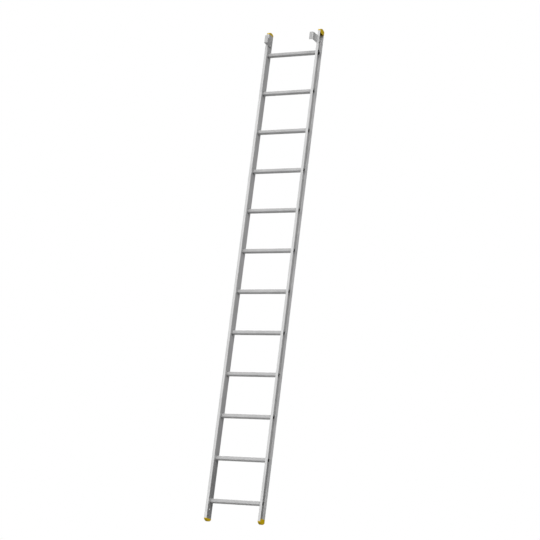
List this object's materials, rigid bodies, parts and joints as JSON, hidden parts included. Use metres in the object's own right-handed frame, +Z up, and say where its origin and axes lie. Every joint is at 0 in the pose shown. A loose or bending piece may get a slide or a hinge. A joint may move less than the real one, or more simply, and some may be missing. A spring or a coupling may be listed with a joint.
{
  "type": "modular fixed ladder",
  "caption": "Straight aluminium ladder module with channel stiles, square tube rungs, bent guide hooks at the head and yellow plastic end caps.",
  "frame": {"origin": "between the two feet, on the middle plane of the stiles, at the height of the soles", "axes": "+Z up the stiles, +X towards the right stile, -Y towards the side that the hooks stand out to"},
  "size_m": [0.44, 0.1295, 3.623],
  "materials": {
    "stile_aluminium": "mill finish, drawn along the length",
    "rung_aluminium": "mill finish with fine ribs",
    "bracket_aluminium": "rolled sheet, satin",
    "rivet_aluminium": "plain",
    "cap_plastic": "moulded, matt",
    "plug_plastic": "moulded, matt"
  },
  "bodies": {
    "root": {"foot_left": "cap_plastic", "foot_right": "cap_plastic", "hook_left": "bracket_aluminium", "hook_right": "bracket_aluminium", "hook_rivets_left": "rivet_aluminium", "hook_rivets_right": "rivet_aluminium", "left_stile": "stile_aluminium", "right_stile": "stile_aluminium", "rung_01": "rung_aluminium", "rung_02": "rung_aluminium", "rung_03": "rung_aluminium", "rung_04": "rung_aluminium", "rung_05": "rung_aluminium", "rung_06": "rung_aluminium", "rung_07": "rung_aluminium", "rung_08": "rung_aluminium", "rung_09": "rung_aluminium", "rung_10": "rung_aluminium", "rung_11": "rung_aluminium", "rung_12": "rung_aluminium", "rung_plug_left": "plug_plastic", "rung_plug_right": "plug_plastic", "top_cap_left": "cap_plastic", "top_cap_right": "cap_plastic"}
  },
  "joints": []
}
